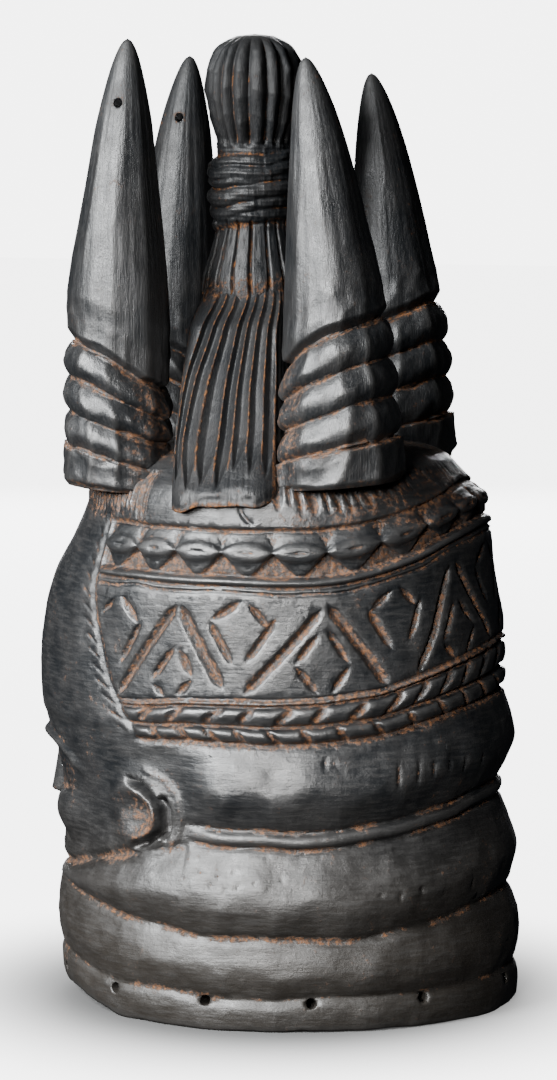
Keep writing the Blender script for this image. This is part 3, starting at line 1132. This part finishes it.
def wood_group():
    """Black stained, waxed wood with brown dust in its cuts and worn edges."""
    tree = bpy.data.node_groups.new("aged black wood", "ShaderNodeTree")
    face = tree.interface
    face.new_socket(name="Position", in_out="INPUT", socket_type="NodeSocketVector")
    for name in ("Fine", "Broad", "Dust", "Inside", "Upright"):
        face.new_socket(name=name, in_out="INPUT", socket_type="NodeSocketFloat")
    face.new_socket(name="Colour", in_out="OUTPUT", socket_type="NodeSocketColor")
    for name in ("Roughness", "Height"):
        face.new_socket(name=name, in_out="OUTPUT", socket_type="NodeSocketFloat")
    inputs = add_node(tree, "NodeGroupInput", (-1800, 0)).outputs
    outputs = add_node(tree, "NodeGroupOutput", (1400, 0)).inputs
    place = inputs["Position"]

    def plus(first, second, at):
        return math_node(tree, "ADD", first, second, at)

    def times(first, second, at):
        return math_node(tree, "MULTIPLY", first, second, at)

    # Patterns: streaks of the grain, soft clouds and patches, fine grit and specks.
    level = noise(tree, place, 1.0, 6.0, 0.62, LEVEL_STREAKS, (-1200, 500))
    upright = noise(tree, place, 1.0, 6.0, 0.62, UPRIGHT_STREAKS, (-1200, 250))
    mix = add_node(tree, "ShaderNodeMix", (-900, 400), data_type="FLOAT")
    for socket, value in (("Factor", inputs["Upright"]), ("A", level), ("B", upright)):
        tree.links.new(value, mix.inputs[socket])
    streaks = mix.outputs["Result"]
    cloud = noise(tree, place, 38.0, 4.0, 0.55, EVEN, (-1200, 0))
    patch = noise(tree, place, 75.0, 3.0, 0.55, EVEN, (-1200, -750))
    speck = noise(tree, place, 900.0, 3.0, 0.6, EVEN, (-1200, -250))
    grit = noise(tree, place, 400.0, 4.0, 0.65, EVEN, (-1200, -500))

    # Dust: in deep cuts and broad hollows and where the piece says, with a ragged edge.
    deep = ramp(tree, inputs["Fine"], 0.10, 0.55, 0.0, 0.42, (-900, 100))
    deep = times(deep, ramp(tree, patch, 0.38, 0.62, 0.1, 1.0, (-900, -750)), (-700, 100))
    hollow = ramp(tree, inputs["Broad"], 0.35, 1.8, 0.0, 0.22, (-900, -100))
    lodged = plus(plus(deep, hollow, (-560, 60)), inputs["Dust"], (-420, 60))
    ragged = plus(times(grit, 1.1, (-700, -400)), times(patch, 0.9, (-700, -250)), (-560, -320))
    ragged = math_node(tree, "SUBTRACT", ragged, 1.0, (-420, -320))
    lodged = plus(lodged, ragged, (-280, -60))
    dust = ramp(tree, lodged, 0.18, 0.60, 0.0, 1.0, (-140, -60))
    powder = ramp(tree, speck, 0.36, 0.60, 0.45, 1.0, (-140, -300))
    dust = times(dust, powder, (20, -120))

    # Colour: clouded black, browner near the rim, with pale streaks and rubbed edges.
    proud = ramp(tree, inputs["Fine"], -0.08, -0.50, 0.0, 1.0, (-900, -1000))
    parts = add_node(tree, "ShaderNodeSeparateXYZ", (-1500, 800))
    tree.links.new(place, parts.inputs[0])
    warm = ramp(tree, parts.outputs["Z"], 0.13, 0.02, 0.0, 1.0, (-1300, 800))
    clouded = ramp(tree, cloud, 0.35, 0.70, 0.0, 1.0, (-700, 800))
    black = blend_colour(tree, clouded, COAL, GREY_BLACK, (-500, 800))
    for share, colour, at in (
            (times(warm, 0.75, (-500, 980)), HANDLED_BROWN, (-400, 900)),
            (ramp(tree, streaks, 0.42, 0.74, 0.0, 0.55, (-700, 620)), STREAK_GREY, (-300, 740)),
            (times(proud, 0.45, (-500, 560)), RUBBED_GREY, (-120, 700))):
        black = blend_colour(tree, share, black, colour, at)
    gritty = ramp(tree, grit, 0.43, 0.64, 0.0, 1.0, (-300, 480))
    brown = blend_colour(tree, gritty, DARK_DUST, PALE_DUST, (-120, 480))
    colour = blend_colour(tree, dust, black, brown, (240, 500))
    bare = blend_colour(tree, streaks, DARK_BARE_WOOD, PALE_BARE_WOOD, (240, 760))
    colour = blend_colour(tree, inputs["Inside"], colour, bare, (440, 560))
    tree.links.new(colour, outputs["Colour"])

    # Roughness: duller toward the horns' tips, near the rim, in patches, in dust and inside.
    gloss = ramp(tree, streaks, 0.30, 0.75, 0.37, 0.50, (240, 200))
    tip = ramp(tree, parts.outputs["Z"], 0.40, 0.47, 0.0, 0.16, (60, 320))
    gloss = plus(gloss, plus(tip, times(warm, 0.07, (60, 240)), (160, 280)), (300, 260))
    gloss = plus(gloss, ramp(tree, patch, 0.30, 0.70, -0.04, 0.07, (240, 320)), (360, 220))
    gloss = plus(gloss, times(proud, -0.05, (240, 60)), (420, 160))
    gloss = plus(gloss, times(dust, 0.40, (240, -60)), (560, 120))
    gloss = math_node(tree, "ADD", gloss, times(inputs["Inside"], 0.30, (240, -160)),
                      (700, 80), clamp=True)
    tree.links.new(gloss, outputs["Roughness"])

    # Height of the grain, grit and dust.
    height = plus(times(streaks, 0.45, (420, -300)), times(grit, 0.40, (420, -420)), (600, -300))
    height = plus(height, times(dust, 0.25, (420, -540)), (760, -300))
    tree.links.new(height, outputs["Height"])
    return tree


def wood(name, group, upright, shine):
    """The wood's finish; upright turns its streaks from level to standing."""
    made = bpy.data.materials.new(name)
    made.use_nodes = True
    tree = made.node_tree
    shader = tree.nodes["Principled BSDF"]
    body = add_node(tree, "ShaderNodeGroup", (-400, 0), node_tree=group)
    place = add_node(tree, "ShaderNodeTexCoord", (-800, 200))
    tree.links.new(place.outputs["Object"], body.inputs["Position"])
    for count, field in enumerate(FIELDS):
        reader = add_node(tree, "ShaderNodeAttribute", (-800, -100 - 180 * count),
                          attribute_name=field)
        tree.links.new(reader.outputs["Fac"], body.inputs[field.capitalize()])
    body.inputs["Upright"].default_value = upright
    bump = add_node(tree, "ShaderNodeBump", (-150, -250))
    bump.inputs["Strength"].default_value = 0.55
    bump.inputs["Distance"].default_value = 0.0010
    tree.links.new(body.outputs["Height"], bump.inputs["Height"])
    tree.links.new(bump.outputs["Normal"], shader.inputs["Normal"])
    tree.links.new(body.outputs["Colour"], shader.inputs["Base Color"])
    tree.links.new(body.outputs["Roughness"], shader.inputs["Roughness"])
    shader.inputs["Specular IOR Level"].default_value = shine
    return made


finish_group = wood_group()
neck_wood = wood("black wood, level streaks", finish_group, 0.15, 0.55)
horn_wood = wood("black wood, upright streaks", finish_group, 1.0, 0.55)
flap_wood = wood("black wood, half dull", finish_group, 1.0, 0.28)
tuft_wood = wood("black wood, dull", finish_group, 1.0, 0.18)

rim_ends = []
for count in range(RIM_HOLES):
    angle = math.radians(RIM_HOLE_START + count * 360.0 / RIM_HOLES)
    direction = Vector((math.sin(angle), -math.cos(angle), 0.0))
    level = Vector((0.0, 0.0, RIM_HOLE_HEIGHT))
    rim_ends.append((direction * 0.070 + level, direction * 0.140 + level))
make_piece("mask_helmet", helmet(), neck_wood, TRIANGLES["helmet"],
           [rods("rim_holes", rim_ends, RIM_HOLE_RADIUS), slits()])

for name, row in HORNS.items():
    side, foot_depth, lean, foot, length = row[:5]
    share = (length - BORE_DROP) / length
    spot = Vector((side, foot_depth + lean * share ** HORN_BEND, foot + length - BORE_DROP))
    reach = Vector((BORE_REACH, 0.0, 0.0) if row[-1] == "X" else (0.0, BORE_REACH, 0.0))
    make_piece("mask_" + name, horn(name), horn_wood if side > 0.0 else flap_wood,
               TRIANGLES["horn"],
               [rods(name + "_bore", [(spot - reach, spot + reach)], BORE_RADIUS)])

make_piece("mask_skirt", skirt(), flap_wood, TRIANGLES["skirt"], [])
make_piece("mask_topknot", topknot(), tuft_wood, TRIANGLES["topknot"], [])

scene = bpy.context.scene
target = Vector((0.0, 0.0, SIGHT_HEIGHT))


def aim(item, spot, at):
    """Put a camera or light at one spot, looking at another."""
    item.location = spot
    item.rotation_euler = (Vector(at) - Vector(spot)).to_track_quat("-Z", "Y").to_euler()


def direction_to(azimuth, elevation):
    """Direction from the mask toward an azimuth from its front and an elevation."""
    a, e = math.radians(azimuth), math.radians(elevation)
    return Vector((math.sin(a) * math.cos(e), -math.cos(a) * math.cos(e), math.sin(e)))


camera_data = bpy.data.cameras.new("camera")
camera_data.lens = CAMERA_LENS
camera_data.sensor_width = CAMERA_SENSOR
camera = bpy.data.objects.new("camera", camera_data)
scene.collection.objects.link(camera)
aim(camera, target + direction_to(CAMERA_AZIMUTH, CAMERA_ELEVATION) * CAMERA_DISTANCE, target)
scene.camera = camera


def area_light(name, azimuth, elevation, distance, size, power, colour):
    """Softbox that looks at the mask and stays out of the picture."""
    data = bpy.data.lights.new(name, "AREA")
    data.shape = "RECTANGLE"
    data.size, data.size_y = size
    data.energy = power
    data.color = colour
    item = bpy.data.objects.new(name, data)
    scene.collection.objects.link(item)
    item.visible_camera = False
    aim(item, target + direction_to(azimuth, elevation) * distance, target)
    return item


# The key lights the whole side, and the narrow side light only the neck and the panel.
area_light("key", 58.0, 27.0, 1.8, (0.60, 1.00), 175.0, (0.97, 0.99, 1.0))
area_light("front", 15.0, 20.0, 2.2, (0.5, 1.0), 3.0, (0.93, 0.97, 1.0))
side_light = area_light("side", 90.0, 14.0, 1.8, (0.50, 0.30), 1.5, (1.0, 0.985, 0.96))
side_light.data.spread = math.radians(20.0)
aim(side_light, side_light.location, (0.0, 0.0, 0.140))
area_light("back", 285.0, 14.0, 2.2, (0.9, 1.1), 190.0, (0.97, 0.98, 1.0))

world = bpy.data.worlds.new("studio")
scene.world = world
world.use_nodes = True
nodes, links = world.node_tree.nodes, world.node_tree.links
dim = nodes["Background"]
dim.inputs["Color"].default_value = (0.80, 0.86, 1.0, 1.0)
dim.inputs["Strength"].default_value = 0.02
pale = nodes.new("ShaderNodeBackground")
pale.inputs["Color"].default_value = (0.93, 0.93, 0.93, 1.0)
pale.inputs["Strength"].default_value = 6.0
path = nodes.new("ShaderNodeLightPath")
choose = nodes.new("ShaderNodeMixShader")
links.new(path.outputs["Is Camera Ray"], choose.inputs["Fac"])
links.new(dim.outputs["Background"], choose.inputs[1])
links.new(pale.outputs["Background"], choose.inputs[2])
links.new(choose.outputs["Shader"], nodes["World Output"].inputs["Surface"])

floor_mesh = bmesh.new()
bmesh.ops.create_grid(floor_mesh, x_segments=40, y_segments=40, size=6.0)
floor_data = finished_mesh("floor", floor_mesh)
floor = bpy.data.objects.new("floor", floor_data)
scene.collection.objects.link(floor)
floor_skin = bpy.data.materials.new("pale floor")
floor_skin.use_nodes = True
floor_shader = floor_skin.node_tree.nodes["Principled BSDF"]
floor_shader.inputs["Base Color"].default_value = (0.10, 0.10, 0.10, 1.0)
floor_shader.inputs["Roughness"].default_value = 0.9
floor_shader.inputs["Specular IOR Level"].default_value = 0.0
floor_shader.inputs["Emission Color"].default_value = (1.0, 1.0, 1.0, 1.0)
floor_tree = floor_skin.node_tree
floor_place = add_node(floor_tree, "ShaderNodeTexCoord", (-900, -300))
floor_reach = add_node(floor_tree, "ShaderNodeVectorMath", (-700, -300), operation="LENGTH")
floor_tree.links.new(floor_place.outputs["Object"], floor_reach.inputs[0])
floor_glow = ramp(floor_tree, floor_reach.outputs["Value"], SHADOW_EDGE, GLOW_EDGE, 0.0, FLOOR_GLOW,
                  (-400, -300))
floor_tree.links.new(floor_glow, floor_shader.inputs["Emission Strength"])
floor_data.materials.append(floor_skin)
floor.visible_diffuse = False
floor.visible_glossy = False
